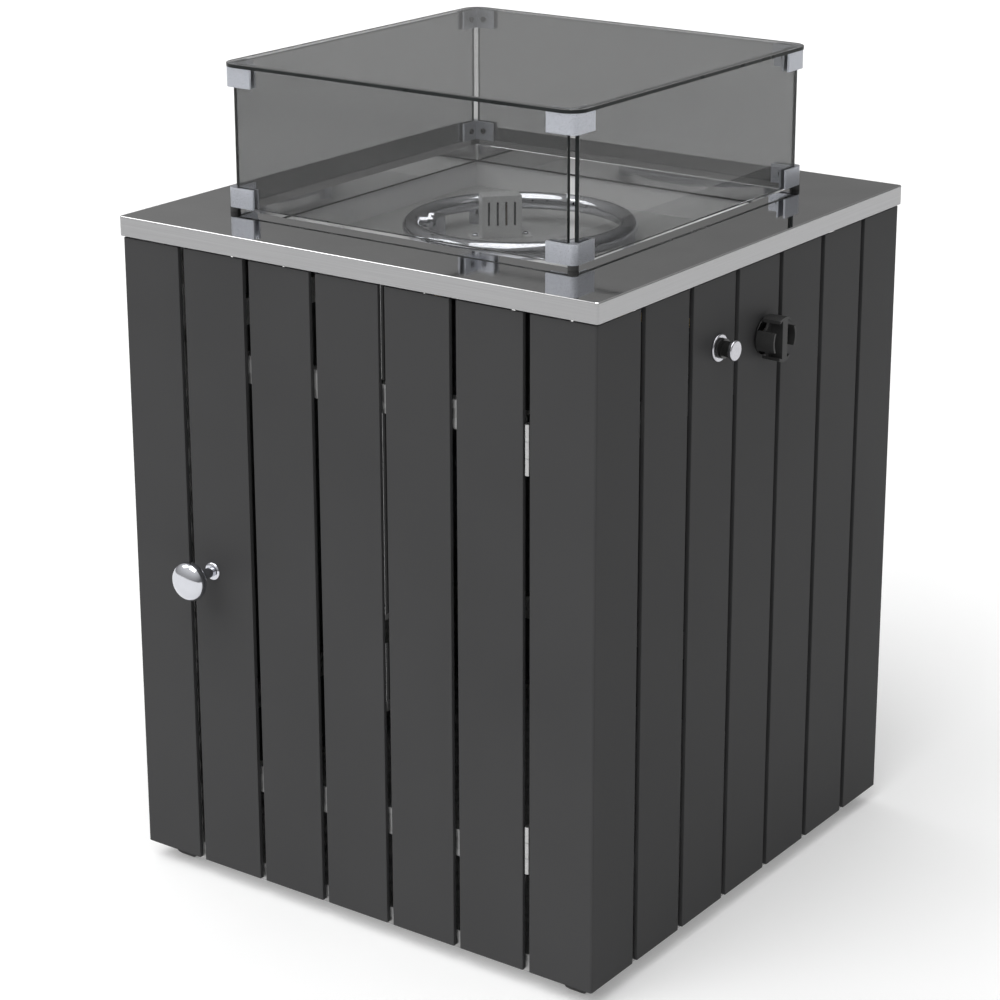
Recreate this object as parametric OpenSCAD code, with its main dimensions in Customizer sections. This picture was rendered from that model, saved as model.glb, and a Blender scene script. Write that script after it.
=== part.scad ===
// Gas fire pit table: steel-topped square cabinet with a ring burner, a glass wind guard and a lid.
// Millimetres, +Z up, origin on the floor under the middle of the table. The door faces -Y,
// the controls face +X.

/* [Table top] */
// Width of the square table top
top_w = 600; // [540:1:660]
// Height of the table top's surface above the floor
top_z = 737; // [700:1:780]
// Depth of the folded outer edge
rim_h = 21; // [14:0.5:26]
// Thickness of the table-top sheet
top_t = 2; // [1.2:0.1:2.5]
// Corner radius of the table top, in plan
top_corner_r = 3; // [2:0.5:8]
// Width of the square burner opening
opening_w = 414; // [400:1:420]
// Depth of the edge that is folded down into the opening
skirt_h = 19; // [10:0.5:25]

/* [Cladding] */
// How far the rim stands proud of the boards
rim_overhang = 2.5; // [1:0.5:5]
// Width of a corner board on each of its two faces
corner_wing = 76; // [60:0.5:84]
// Open gap between neighbouring boards
board_gap = 8; // [7.5:0.25:10]
// Depth of the folded long edges of a board
board_d = 5; // [4.5:0.25:6]
// Sheet thickness of a board
board_t = 1.5; // [1:0.1:2]
// Outer fold radius of the corner boards
corner_fold_r = 2.5; // [2:0.25:4]
// Height of the boards' lower ends above the floor
board_foot_z = 20; // [19:0.5:26]
// Gap between the rim and the boards' upper ends
board_head_gap = 2; // [1.5:0.25:4]

/* [Frame] */
// Width of the square tube of the base and top rails
tube_w = 20; // [18:1:24]
// Width of the square tube of the corner posts
post_w = 25; // [22:1:28]
// Wall thickness of every frame tube
tube_t = 1.5; // [1:0.1:2]
// Height of the flat cross rails behind the boards
rail_h = 30; // [26:1:36]
// Depth of the flat cross rails
rail_d = 12; // [10:0.5:14]
// Distance from the table top down to the middle of the upper cross rails
upper_rail_drop = 140.5; // [136:0.5:150]
// Height of the middle of the lower cross rails above the floor
lower_rail_z = 137; // [120:0.5:150]
// Sheet thickness of the floor tray
tray_t = 1.5; // [1:0.1:2]
// Height of the floor tray's upturned edge
tray_lip_h = 13; // [8:0.5:16]

/* [Feet] */
// Height of the feet
foot_h = 17; // [14:0.5:18]
// Width of the square feet
foot_w = 26; // [22:1:30]
// Chamfer around the bottom of the feet
foot_chamfer = 4; // [2:0.5:6]
// Distance from the outside of the boards to the middle of a foot
foot_inset = 34.5; // [28:0.5:40]

/* [Door] */
// Height of a hinge
hinge_h = 52; // [44:1:60]
// Radius of a hinge barrel
barrel_r = 3; // [2.75:0.05:3.2]
// Radius of a hinge pin
pin_r = 1.5; // [1.2:0.05:1.8]
// Thickness of a hinge leaf
leaf_t = 1.5; // [1.2:0.1:1.6]
// Gap between a hinge leaf and the other leaf's knuckles
leaf_gap = 0.4; // [0.3:0.05:0.8]
// Gap between neighbouring knuckles
knuckle_gap = 0.3; // [0.2:0.05:0.6]
// Depth of the frame leaf, from the pin inwards
frame_leaf_d = 22; // [16:0.5:24]
// Distance from the table top down to the middle of the upper hinge
upper_hinge_drop = 159.5; // [150:0.5:170]
// Height of the middle of the lower hinge above the floor
lower_hinge_z = 155; // [140:0.5:170]
// Distance from the table top down to the door knob
knob_drop = 372; // [330:1:400]
// Distance from the door's free edge to the middle of the knob
knob_edge = 25; // [18:0.5:32]
// Diameter of the knob's head
knob_head_d = 42.5; // [36:0.5:46]
// Thickness of the knob's head
knob_head_t = 24; // [20:0.5:28]
// Distance from the boards to the middle of the knob's head
knob_reach = 37; // [32:0.5:42]
// Diameter of the knob's rosette
rosette_d = 20; // [17:0.5:24]
// Thickness of the rosette
rosette_t = 3; // [2:0.25:4]
// Diameter of the knob's stem
knob_stem_d = 11; // [9:0.5:13]
// Thickness of the knob's head at its rim
knob_rim_t = 4; // [2:0.5:6]
// Diameter of the knob's stud
knob_stud_d = 5.5; // [4:0.5:7]
// Length of the stud behind the board
knob_stud_l = 3; // [2:0.5:6]
// Height of the magnetic catch
catch_h = 40; // [30:1:50]
// Width of the magnetic catch
catch_w = 18; // [14:0.5:22]
// Depth of the magnetic catch
catch_d = 16; // [12:0.5:20]
// Width of the catch's plate
catch_plate_w = 18; // [12:0.5:24]
// Thickness of the catch's plate
catch_plate_t = 2; // [1:0.25:3]

/* [Burner] */
// Depth of the pan's floor below the table top
pan_depth = 50; // [46:0.5:60]
// Sheet thickness of the pan
pan_t = 1.5; // [1:0.1:2]
// Width of the pan's hanging flange
pan_flange = 15; // [10:0.5:20]
// Radius of the ring's centre line
ring_r = 115.5; // [108:0.5:122]
// Diameter of the ring's tube
ring_tube_d = 19; // [17:0.5:21]
// Wall thickness of the ring's tube
ring_wall = 1.2; // [1:0.1:1.6]
// Depth of the ring's centre below the table top
ring_drop = 27; // [25:0.5:30]
// Number of burner ports
port_count = 42; // [24:1:48]
// Diameter of a burner port
port_d = 2.8; // [1.6:0.1:3]
// Angle of the ports above the horizontal
port_tilt = 15; // [12:1:50]
// Direction of the gas feed, seen from the middle of the ring
feed_turn = 207; // [200:1:215]
// Distance from the ring's inner wall to the middle of the feed elbow
feed_inset = 18; // [17:0.5:22]
// Diameter of the feed elbow
elbow_d = 16; // [14:0.5:18]
// Length of the elbow's outlet beyond its body
elbow_lip = 2; // [1.5:0.25:3]
// Length of the elbow below the pan's floor
elbow_below = 30; // [24:1:34]
// Diameter of the elbow's collar
elbow_collar_d = 24; // [20:0.5:28]
// Thickness of the elbow's collar
elbow_collar_h = 4; // [2:0.5:6]
// Width of the union nut across its corners
union_nut_d = 19; // [17:0.5:21]
// Length of the union nut
union_nut_l = 6; // [4:0.5:8]
// Diameter of the ring's stub
stub_d = 12; // [10:0.5:14]
// Bore of the ring's stub
stub_bore_d = 8; // [6:0.5:9]
// Diameter of the ring's stands
stand_d = 14; // [10:0.5:18]
// Height that a stand reaches up the sides of the ring
stand_rise = 6; // [4:0.5:8]
// Diameter of the burner pipe
pipe_d = 10; // [8:0.5:12]
// Diameter of the round fittings at the pipe's bends
pipe_fitting_d = 14; // [13:0.5:16]
// Width of the ignition hood
hood_w = 43.5; // [40:0.5:48]
// Depth of the ignition hood
hood_d = 24; // [20:0.5:28]
// Height of the ignition hood
hood_h = 47; // [44:0.5:48]
// Sheet thickness of the ignition hood
hood_t = 1.2; // [1:0.1:1.6]
// Position of the hood to the right of the middle
hood_x = -42; // [-46:0.5:-38]
// Position of the hood behind the middle
hood_y = 24; // [20:0.5:30]
// Angle that the hood is turned towards the controls
hood_turn = 45; // [40:1:50]
// Width of the hood's flanges
hood_flange = 12; // [10:0.5:14]
// Width of a slot in the hood
hood_slot_w = 2.4; // [1.6:0.2:4]
// Height of a slot in the hood
hood_slot_h = 26; // [18:0.5:28]
// Height of the slots' lower end above the pan's floor
hood_slot_foot = 14; // [9:0.5:16]
// Number of slots in the front of the hood
hood_slots = 4; // [3:1:5]
// Length of the probes below the pan's floor
probe_below = 22; // [16:0.5:30]
// Thickness of the probes' collars
probe_collar_h = 3; // [2:0.5:4]
// Width of the probes' collars
probe_collar_w = 2; // [1:0.25:3]
// Position of the spark electrode across the hood
electrode_x = -8; // [-11:0.5:-7]
// Diameter of the spark electrode
electrode_d = 7; // [6:0.5:8]
// Height of the electrode's ceramic
electrode_h = 24; // [18:0.5:26]
// Diameter of the electrode's tip
electrode_tip_d = 2; // [1.5:0.1:3]
// Length of the electrode's tip
electrode_tip_h = 12; // [8:0.5:14]
// Position of the thermocouple across the hood
thermo_x = 8; // [7:0.5:11]
// Diameter of the thermocouple
thermo_d = 5; // [4:0.5:6]
// Height of the thermocouple
thermo_h = 34; // [26:0.5:38]

/* [Controls] */
// Distance of the control knob from the middle of its side
valve_y = 11; // [6:0.5:14]
// Distance from the table top down to the control knob
valve_drop = 104; // [98:0.5:106]
// Diameter of the control knob
control_d = 47; // [44:0.5:52]
// Length of the control knob
control_len = 20.5; // [18:0.5:24]
// Width of the control knob's grip bar
grip_w = 10; // [8:0.5:14]
// Push travel of the control knob
control_travel = 4; // [3:0.25:5]
// Space left behind the pressed control knob
control_gap = 0.5; // [0.4:0.1:2]
// Depth of the hollow behind the control knob
control_hollow = 4.5; // [4:0.25:6]
// Thickness of the web between the hollow and the pockets
control_web_t = 3; // [2:0.25:4]
// Thickness of the control knob's outer wall
control_wall = 3; // [2.5:0.25:4]
// Diameter of the control knob's hub
control_hub_d = 14; // [12:0.5:15]
// Number of flutes around the control knob
flutes = 4; // [3:1:6]
// Diameter of the flutes
flute_d = 20; // [14:0.5:24]
// Depth of the flutes
flute_depth = 5; // [3.5:0.25:6]
// Gap between the valve's bezel and the knob's outer wall
valve_bezel_gap = 1; // [0.6:0.1:3]
// Thickness of the valve's bezel
valve_bezel_t = 2.5; // [1.5:0.25:3.5]
// Diameter of the hole in the valve's bezel
valve_bezel_hole_d = 18; // [15.5:0.5:20]
// Diameter of the hole in the board for the valve
valve_hole_d = 24; // [18:0.5:28]
// Diameter of the valve's boss
valve_boss_d = 14; // [12:0.5:15]
// Width of the valve's body
valve_w = 26; // [24:0.5:30]
// Length of the valve's body
valve_len = 38; // [36:0.5:44]
// Diameter of the valve's plug
plug_d = 16; // [14:0.5:18]
// Length of the valve's plug
plug_len = 22; // [20:0.5:24]
// Thickness of the valve's front wall
plug_wall = 6; // [4:0.5:8]
// Diameter of the valve's stem
stem_d = 8; // [7:0.5:9]
// Distance from the stem's axis to its flat
stem_flat = 3; // [2.5:0.1:3.4]
// Distance from the back of the plug to the stem's end
stem_start = 8; // [6:0.5:10]
// Sheet thickness of the control bracket
bracket_t = 2; // [1.5:0.25:3]
// Depth of the control bracket's lips
bracket_lip = 14; // [13:0.5:18]
// Length of the bracket beyond the valve and the igniter
bracket_margin = 31; // [20:0.5:34]
// Distance of the hose tail behind the bracket
hose_inset = 27; // [24:0.5:28]
// Diameter of the hose tail
hose_tail_d = 8; // [6:0.5:10]
// Length of the hose tail
hose_tail_l = 26; // [20:0.5:30]
// Width of the hose nut across its corners
hose_nut_d = 16; // [13:0.5:17]
// Height of the hose nut
hose_nut_h = 7; // [5:0.5:9]
// Distance of the igniter from the middle of its side
igniter_y = -78.5; // [-84:0.5:-72]
// Distance from the table top down to the igniter
igniter_drop = 95.5; // [90:0.5:98]
// Diameter of the igniter's bezel
bezel_d = 28.8; // [26:0.2:32]
// Diameter of the igniter's cap
cap_d = 21; // [18:0.5:23]
// Thickness of the igniter's cap
cap_t = 4; // [3:0.25:5]
// Push travel of the igniter
igniter_travel = 6; // [4:0.25:7]
// Space left under the pressed cap
cap_gap = 3; // [2:0.25:4]
// Diameter of the igniter's housing
igniter_d = 20.5; // [18:0.5:21.5]
// Length of the igniter's housing behind the boards' face
igniter_len = 45; // [40:0.5:50]
// Length of the igniter's housing outside
igniter_collar = 8; // [5:0.5:10]
// Diameter of the igniter's shoulder
igniter_shoulder_d = 27; // [24:0.5:30]
// Thickness of the igniter's shoulder
igniter_shoulder_t = 4; // [2:0.5:6]
// Diameter of the igniter's plunger
plunger_d = 16; // [13:0.5:17]
// Length of the plunger behind the boards' face
plunger_in = 14; // [10:0.5:18]
// Thickness of the igniter's bezel
bezel_t = 3; // [2:0.25:4]
// Rounding of the bezel and the cap
edge_round = 1.5; // [0.5:0.25:1.75]

/* [Wind guard] */
// Distance from the burner opening to the outside of the panes
guard_margin = 9.5; // [5:0.5:14]
// Thickness of the panes
pane_t = 5; // [4:0.25:6]
// Distance from the outside of one pane to the end of the next
pane_end_gap = 8; // [7:0.25:10]
// Height of the guard's rubber feet
guard_foot_h = 5.5; // [4:0.25:8]
// Diameter of the guard's rubber feet
guard_foot_d = 11; // [9:0.5:11]
// Height of the guard above the table top
guard_h = 154; // [120:1:200]
// Height of a corner clip
clip_h = 21; // [18:0.5:26]
// Length of a clip's wing
clip_wing = 34.5; // [30:0.5:40]
// Wall thickness of a clip
clip_t = 2.5; // [2:0.1:3]
// Outer radius of a clip's upright edge
clip_corner_r = 7; // [4:0.5:10]
// Diameter of a clip screw
screw_d = 4; // [3:0.25:5]
// Diameter of a clip screw's head
screw_head_d = 6.4; // [5:0.2:8]
// Thickness of a clip screw's head
screw_head_t = 2; // [1:0.25:3]
// Overhang of the lid beyond the panes
lid_overhang = 7; // [4:0.5:12]
// Thickness of the lid
lid_t = 4; // [3:0.25:8]
// Corner radius of the lid
lid_corner_r = 20; // [10:0.5:30]

/* [Clearances] */
// Radial clearance of a pin or shaft that turns or slides
run_gap = 0.05; // [0.02:0.01:0.09]
// Gap beside a moving piece, and between a piece and the hole it passes
free_gap = 0.3; // [0.2:0.05:0.4]
// Gap between the ring and its stands
saddle_gap = 0.15; // [0.1:0.05:0.3]
// Gap between the catch and its plate
catch_gap = 0.3; // [0.2:0.05:0.5]
// Play of a pane in its clips
pane_play = 0.5; // [0.3:0.05:0.8]
// Gap between the skirt and the pan's walls
pan_gap = 0.5; // [0.3:0.05:0.8]

/* [Hidden] */
$fn = 64;
flat_boards = 5;
face = top_w / 2 - rim_overhang;
inner_face = face - board_d;
board_pitch = (2 * (face - corner_wing) - board_gap) / flat_boards;
board_w = board_pitch - board_gap;
board_h = top_z - rim_h - board_head_gap - board_foot_z;
post_inner = inner_face - post_w;
tube_inner = inner_face - tube_w;
frame_top_z = top_z - top_t;
top_rail_z = frame_top_z - tube_w;
upper_rail_z = top_z - upper_rail_drop;

// Door: the pin stands in the last gap, one barrel radius behind the boards' face
hinge_x = flat_boards * board_pitch / 2;
hinge_y = barrel_r - face;
upper_hinge_z = top_z - upper_hinge_drop;
knuckles = 3;
knuckle_h = hinge_h / knuckles;
leaf_clear_y = barrel_r + leaf_gap;
door_leaf_d = rail_d + board_d - barrel_r;
jamb_x = hinge_x + barrel_r + free_gap;
door_rail_end = hinge_x - barrel_r - free_gap;
door_rail_start = board_gap - hinge_x;
knob_x = board_gap / 2 - hinge_x + knob_edge;
knob_z = top_z - knob_drop;

// Burner
pan_inner = opening_w / 2 + top_t + pan_gap;
pan_floor_z = top_z - pan_depth;
ring_z = top_z - ring_drop;
tube_r = ring_tube_d / 2;
feed_r = ring_r - tube_r - feed_inset;
elbow_reach = elbow_d / 2 + elbow_lip;
stub_start = feed_r + elbow_reach;
stand_turns = [30, 150, 270];

// Controls, measured from the boards' outer face
valve_z = top_z - valve_drop;
igniter_z = top_z - igniter_drop;
bracket_x = inner_face - bracket_t;
control_start = control_travel + control_gap;
cap_start = igniter_collar + igniter_travel + cap_gap;
valve_front = bracket_x - face;
plug_front = valve_front - plug_wall;
plug_back = plug_front - plug_len;

// Wind guard
pane_face = opening_w / 2 + guard_margin;
pane_end = pane_face - pane_end_gap;
clip_face = pane_face + pane_play + clip_t;
clip_inner = pane_face - pane_t - pane_play;
clip_end = clip_face - clip_wing;
clip_low_z = top_z + guard_foot_h;
clip_top_z = top_z + guard_h;
pane_low_z = clip_low_z;
pane_top_z = clip_top_z - free_gap;
lid_w = 2 * (pane_face + lid_overhang);

steel = [0.72, 0.73, 0.74];
polished = [0.80, 0.81, 0.82];
galvanised = [0.66, 0.67, 0.68];
slate = [0.27, 0.27, 0.28];
black = [0.06, 0.06, 0.06];
brass = [0.78, 0.64, 0.32];
smoke = [0.45, 0.47, 0.48, 0.45];

// Shared shapes

// Turns what is drawn for the front to the front, right, back or left side
module on_side(n) {
    rotate([0, 0, 90 * n]) children();
}

// Square tube along X, centred
module tube_x(length, depth, height) {
    difference() {
        cube([length, depth, height], center = true);
        cube([length + 1, depth - 2 * tube_t, height - 2 * tube_t], center = true);
    }
}

// Square tube standing on the XY plane
module tube_z(width, height) {
    difference() {
        linear_extrude(height) square(width, center = true);
        translate([0, 0, -1]) linear_extrude(height + 2) square(width - 2 * tube_t, center = true);
    }
}

// Square with four rounded corners, centred
module rounded_square(width, radius) {
    square([width, width - 2 * radius], center = true);
    square([width - 2 * radius, width], center = true);
    for (x = [-1, 1], y = [-1, 1])
        translate([x, y] * (width / 2 - radius)) circle(radius);
}

// Square whose outer corner is at [hi, hi] and rounded
module corner_block(lo, hi, radius) {
    translate([lo, lo]) square([hi - lo, hi - lo - radius]);
    translate([lo, lo]) square([hi - lo - radius, hi - lo]);
    if (radius > 0) translate([hi - radius, hi - radius]) circle(radius);
}

// Strip that runs round a corner, from one wing's end to the other's
module corner_strip(end, inner, outer, radius) {
    difference() {
        corner_block(end, outer, radius);
        corner_block(end - 1, inner, max(radius - outer + inner, 0));
    }
}

module torus(radius, section_r) {
    rotate_extrude($fn = 128) translate([radius, 0]) circle(section_r);
}

// Points the Z axis of its children away from the control side
module on_control_side(y, z) {
    translate([face, y, z]) rotate([0, 90, 0]) children();
}

// Frame

// Four tubes between the corner posts
module rail_square(z) {
    for (n = [0 : 3]) on_side(n)
        translate([0, tube_w / 2 - inner_face, z + tube_w / 2])
            tube_x(2 * post_inner, tube_w, tube_w);
}

module base_rails() {
    color(galvanised) rail_square(foot_h);
}

module top_rails() {
    color(galvanised) rail_square(top_rail_z);
}

// Upper and lower flat rail behind the boards of one side
module cross_rails(n) {
    color(galvanised) on_side(n)
        for (z = [upper_rail_z, lower_rail_z])
            translate([0, rail_d / 2 - inner_face, z]) tube_x(2 * post_inner, rail_d, rail_h);
}

module corner_posts() {
    color(galvanised) for (x = [-1, 1], y = [-1, 1])
        translate([x * (inner_face - post_w / 2), y * (inner_face - post_w / 2), foot_h])
            tube_z(post_w, frame_top_z - foot_h);
}

// Uprights at both sides of the doorway, between the base and top rails
module door_jambs() {
    color(galvanised) for (x = [-1, 1])
        translate([x * (jamb_x + tube_w / 2), tube_w / 2 - inner_face, foot_h + tube_w])
            tube_z(tube_w, top_rail_z - foot_h - tube_w);
}

// Tray between the base rails, notched around the corner posts
module floor_tray() {
    edge = tube_inner - free_gap;
    notch = post_inner - free_gap;
    color(galvanised) difference() {
        translate([-edge, -edge, foot_h]) cube([2 * edge, 2 * edge, tray_lip_h]);
        translate([tray_t - edge, tray_t - edge, foot_h + tray_t])
            cube([2 * (edge - tray_t), 2 * (edge - tray_t), tray_lip_h]);
        for (n = [0 : 3]) on_side(n)
            translate([notch, notch, foot_h - 1]) cube([tube_w, tube_w, tray_lip_h + 2]);
    }
}

// Block foot with a chamfered sole, cut alike from two sides
module foot() {
    module profile() {
        rotate([90, 0, 0]) linear_extrude(foot_w, center = true)
            polygon([
                [foot_chamfer - foot_w / 2, 0], [foot_w / 2 - foot_chamfer, 0],
                [foot_w / 2, foot_chamfer], [foot_w / 2, foot_h],
                [-foot_w / 2, foot_h], [-foot_w / 2, foot_chamfer]
            ]);
    }
    intersection() {
        profile();
        rotate([0, 0, 90]) profile();
    }
}

module feet() {
    color(black) for (x = [-1, 1], y = [-1, 1])
        translate([x * (face - foot_inset), y * (face - foot_inset), 0]) foot();
}

// Cladding

// Board of folded sheet on the front side, with its long edges turned back
module board(x) {
    translate([x - board_w / 2, -face, board_foot_z]) linear_extrude(board_h) difference() {
        square([board_w, board_d]);
        translate([board_t, board_t]) square([board_w - 2 * board_t, board_d]);
    }
}

function board_x(i) = (i - (flat_boards + 1) / 2) * board_pitch;

module side_boards(n) {
    color(slate) on_side(n) for (i = [1 : flat_boards]) board(board_x(i));
}

// The control side's boards are bored for the valve and the igniter
module right_boards() {
    color(slate) difference() {
        side_boards(1);
        on_control_side(valve_y, valve_z)
            translate([0, 0, -board_d]) cylinder(d = valve_hole_d, h = 2 * board_d);
        on_control_side(igniter_y, igniter_z)
            translate([0, 0, -board_d]) cylinder(r = igniter_d / 2 + free_gap, h = 2 * board_d);
    }
}

// Boards folded round the corners, with both long edges turned back
module corner_boards() {
    color(slate) for (n = [0 : 3]) on_side(n)
        translate([0, 0, board_foot_z]) linear_extrude(board_h) difference() {
            corner_strip(face - corner_wing, inner_face, face, corner_fold_r);
            corner_strip(face - corner_wing + board_t, inner_face - 1, face - board_t,
                         max(corner_fold_r - board_t, 0));
        }
}

// Door

module door_board(i) {
    color(slate) difference() {
        board(board_x(i));
        if (i == 1) knob_axis() translate([0, 0, -board_d])
            cylinder(r = knob_stud_d / 2 + free_gap, h = 2 * board_d);
    }
}

module door_rail(z) {
    color(galvanised) translate([(door_rail_start + door_rail_end) / 2, rail_d / 2 - inner_face, z])
        tube_x(door_rail_end - door_rail_start, rail_d, rail_h);
}

// Steel plate on the back of the upper rail, which the magnet holds
module catch_plate() {
    color(steel) translate([door_rail_start, rail_d - inner_face, upper_rail_z - rail_h / 2])
        cube([catch_plate_w, catch_plate_t, rail_h]);
}

// Magnet block on the free side's jamb
module door_catch() {
    color(black)
        translate([-jamb_x, rail_d + catch_plate_t + catch_gap - inner_face, upper_rail_z - catch_h / 2])
            cube([catch_w, catch_d, catch_h]);
}

// One leaf of a hinge at the pin: its knuckles, and its plate standing back into the gap
module hinge_leaf(z, side, plate_d, first_knuckle) {
    translate([hinge_x, hinge_y, z - hinge_h / 2]) difference() {
        union() {
            translate([side > 0 ? barrel_r - leaf_t : -barrel_r, leaf_clear_y, 0])
                cube([leaf_t, plate_d - leaf_clear_y, hinge_h]);
            for (k = [first_knuckle : 2 : knuckles - 1])
                translate([0, 0, k * knuckle_h + knuckle_gap / 2]) {
                    cylinder(r = barrel_r, h = knuckle_h - knuckle_gap);
                    translate([side > 0 ? barrel_r - leaf_t : -barrel_r, 0, 0])
                        cube([leaf_t, leaf_clear_y + 1, knuckle_h - knuckle_gap]);
                }
        }
        translate([0, 0, -1]) cylinder(r = pin_r + run_gap, h = hinge_h + 2);
    }
}

module hinge_frame_leaf(z) {
    color(steel) hinge_leaf(z, 1, frame_leaf_d, 0);
}

module hinge_door_leaf(z) {
    color(steel) hinge_leaf(z, -1, door_leaf_d, 1);
}

module hinge_pin(z) {
    color(steel) translate([hinge_x, hinge_y, z - hinge_h / 2]) cylinder(r = pin_r, h = hinge_h);
}

module knob_axis() {
    translate([knob_x, -face, knob_z]) rotate([90, 0, 0]) children();
}

module knob_rosette() {
    hole = knob_stud_d / 2 + free_gap;
    flat = rosette_d / 2 - rosette_t;
    color(polished) knob_axis() rotate_extrude() {
        translate([hole, 0]) square([flat - hole, rosette_t]);
        intersection() {
            translate([flat, 0]) circle(rosette_t);
            translate([hole, 0]) square([rosette_d, rosette_t]);
        }
    }
}

// Domed head on a waisted stem, with a stud through the board
module door_knob() {
    head_r = knob_head_d / 2;
    dome = knob_head_t / 2;
    rise = dome - knob_rim_t / 2;
    dome_r = (head_r * head_r + rise * rise) / (2 * rise);
    color(polished) knob_axis() rotate_extrude() {
        translate([0, -board_t - knob_stud_l])
            square([knob_stud_d / 2, board_t + knob_stud_l + rosette_t]);
        translate([0, rosette_t]) square([knob_stem_d / 2, knob_reach - rosette_t]);
        intersection() {
            translate([0, knob_reach + dome - dome_r]) circle(dome_r, $fn = 128);
            translate([0, knob_reach - dome + dome_r]) circle(dome_r, $fn = 128);
            translate([0, knob_reach - dome]) square([head_r, knob_head_t]);
        }
    }
}

// Table top and burner

// Sheet with its outer edge and the edge of the opening folded down
module table_top() {
    opening_outer = opening_w + 2 * top_t;
    color(polished) difference() {
        union() {
            difference() {
                translate([0, 0, top_z - rim_h]) linear_extrude(rim_h)
                    rounded_square(top_w, top_corner_r);
                translate([0, 0, top_z - rim_h - 1]) linear_extrude(rim_h + 1 - top_t)
                    square(top_w - 2 * top_t, center = true);
            }
            translate([0, 0, top_z - skirt_h]) linear_extrude(skirt_h)
                square(opening_outer, center = true);
        }
        translate([0, 0, top_z - pan_depth]) linear_extrude(2 * pan_depth)
            square(opening_w, center = true);
    }
}

// Pan behind the skirt, hung by its flange under the table top
module burner_pan() {
    outer = pan_inner + pan_t;
    color(steel) difference() {
        union() {
            translate([-outer, -outer, pan_floor_z - pan_t])
                cube([2 * outer, 2 * outer, frame_top_z - pan_floor_z + pan_t]);
            translate([-outer - pan_flange, -outer - pan_flange, frame_top_z - pan_t])
                cube([2 * (outer + pan_flange), 2 * (outer + pan_flange), pan_t]);
        }
        translate([-pan_inner, -pan_inner, pan_floor_z])
            cube([2 * pan_inner, 2 * pan_inner, pan_depth]);
        at_feed() translate([0, 0, pan_floor_z - 5]) cylinder(r = elbow_d / 2 + free_gap, h = 10);
        at_hood() {
            translate([electrode_x, 0, -5]) cylinder(r = electrode_d / 2 + free_gap, h = 10);
            translate([thermo_x, 0, -5]) cylinder(r = thermo_d / 2 + free_gap, h = 10);
        }
    }
}

module at_feed() {
    rotate([0, 0, feed_turn]) translate([feed_r, 0, 0]) children();
}

module at_hood() {
    translate([hood_x, hood_y, pan_floor_z]) rotate([0, 0, hood_turn]) children();
}

// Hollow ring with a row of ports on the inside and a stub towards the feed
module ring_burner() {
    color(polished) translate([0, 0, ring_z]) difference() {
        union() {
            torus(ring_r, tube_r);
            rotate([0, 0, feed_turn]) translate([stub_start, 0, 0]) rotate([0, 90, 0])
                cylinder(d = stub_d, h = ring_r - stub_start);
        }
        torus(ring_r, tube_r - ring_wall);
        rotate([0, 0, feed_turn]) translate([stub_start - 1, 0, 0]) rotate([0, 90, 0])
            cylinder(d = stub_bore_d, h = ring_r - stub_start);
        for (i = [0 : port_count - 1])
            rotate([0, 0, feed_turn + (i + 0.5) * 360 / port_count])
                translate([ring_r, 0, 0]) rotate([0, port_tilt - 90, 0])
                    cylinder(d = port_d, h = tube_r + 1, $fn = 16);
    }
}

// Pillars on the pan's floor, each hollowed to a saddle for the ring
module burner_stands() {
    top = ring_z - tube_r + stand_rise;
    color(steel) difference() {
        for (a = stand_turns)
            rotate([0, 0, a]) translate([ring_r, 0, pan_floor_z])
                cylinder(d = stand_d, h = top - pan_floor_z);
        translate([0, 0, ring_z]) torus(ring_r, tube_r + saddle_gap);
    }
}

// Elbow that carries the gas up through the pan and across to the ring's stub
module feed_elbow() {
    color(steel) at_feed() {
        translate([0, 0, pan_floor_z - elbow_below])
            cylinder(d = elbow_d, h = ring_z - pan_floor_z + elbow_below + elbow_d / 2);
        translate([0, 0, pan_floor_z]) cylinder(d = elbow_collar_d, h = elbow_collar_h);
        translate([0, 0, ring_z]) rotate([0, 90, 0]) {
            cylinder(d = stub_d, h = elbow_reach);
            translate([0, 0, elbow_reach - union_nut_l])
                cylinder(d = union_nut_d, h = union_nut_l, $fn = 6);
        }
    }
}

// Slotted sheet cover, open behind and below, with a flange at each side
module ignition_hood() {
    slot_pitch = hood_w / (hood_slots + 0.6);
    color(steel) at_hood() difference() {
        union() {
            translate([-hood_w / 2, -hood_d / 2, 0]) cube([hood_w, hood_d, hood_h]);
            translate([-hood_w / 2 - hood_flange, -hood_d / 2, 0])
                cube([hood_w + 2 * hood_flange, hood_d, hood_t]);
        }
        translate([hood_t - hood_w / 2, hood_t - hood_d / 2, -1])
            cube([hood_w - 2 * hood_t, hood_d, hood_h + 1 - hood_t]);
        for (i = [1 : hood_slots])
            translate([(i - (hood_slots + 1) / 2) * slot_pitch - hood_slot_w / 2, -hood_d, hood_slot_foot])
                cube([hood_slot_w, hood_d, hood_slot_h]);
    }
}

// Ceramic body with a spark tip, its collar on the pan's floor
module spark_electrode() {
    color([0.92, 0.91, 0.88]) at_hood() translate([electrode_x, 0, 0]) {
        translate([0, 0, -probe_below]) cylinder(d = electrode_d, h = probe_below + electrode_h);
        cylinder(d = electrode_d + 2 * probe_collar_w, h = probe_collar_h);
        translate([0, 0, electrode_h]) cylinder(d = electrode_tip_d, h = electrode_tip_h);
    }
}

// Sensing rod with a round tip, its collar on the pan's floor
module thermocouple() {
    color([0.72, 0.45, 0.30]) at_hood() translate([thermo_x, 0, 0]) {
        translate([0, 0, -probe_below]) cylinder(d = thermo_d, h = probe_below + thermo_h);
        cylinder(d = thermo_d + 2 * probe_collar_w, h = probe_collar_h);
        translate([0, 0, thermo_h]) sphere(d = thermo_d);
    }
}

// Controls

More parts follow.
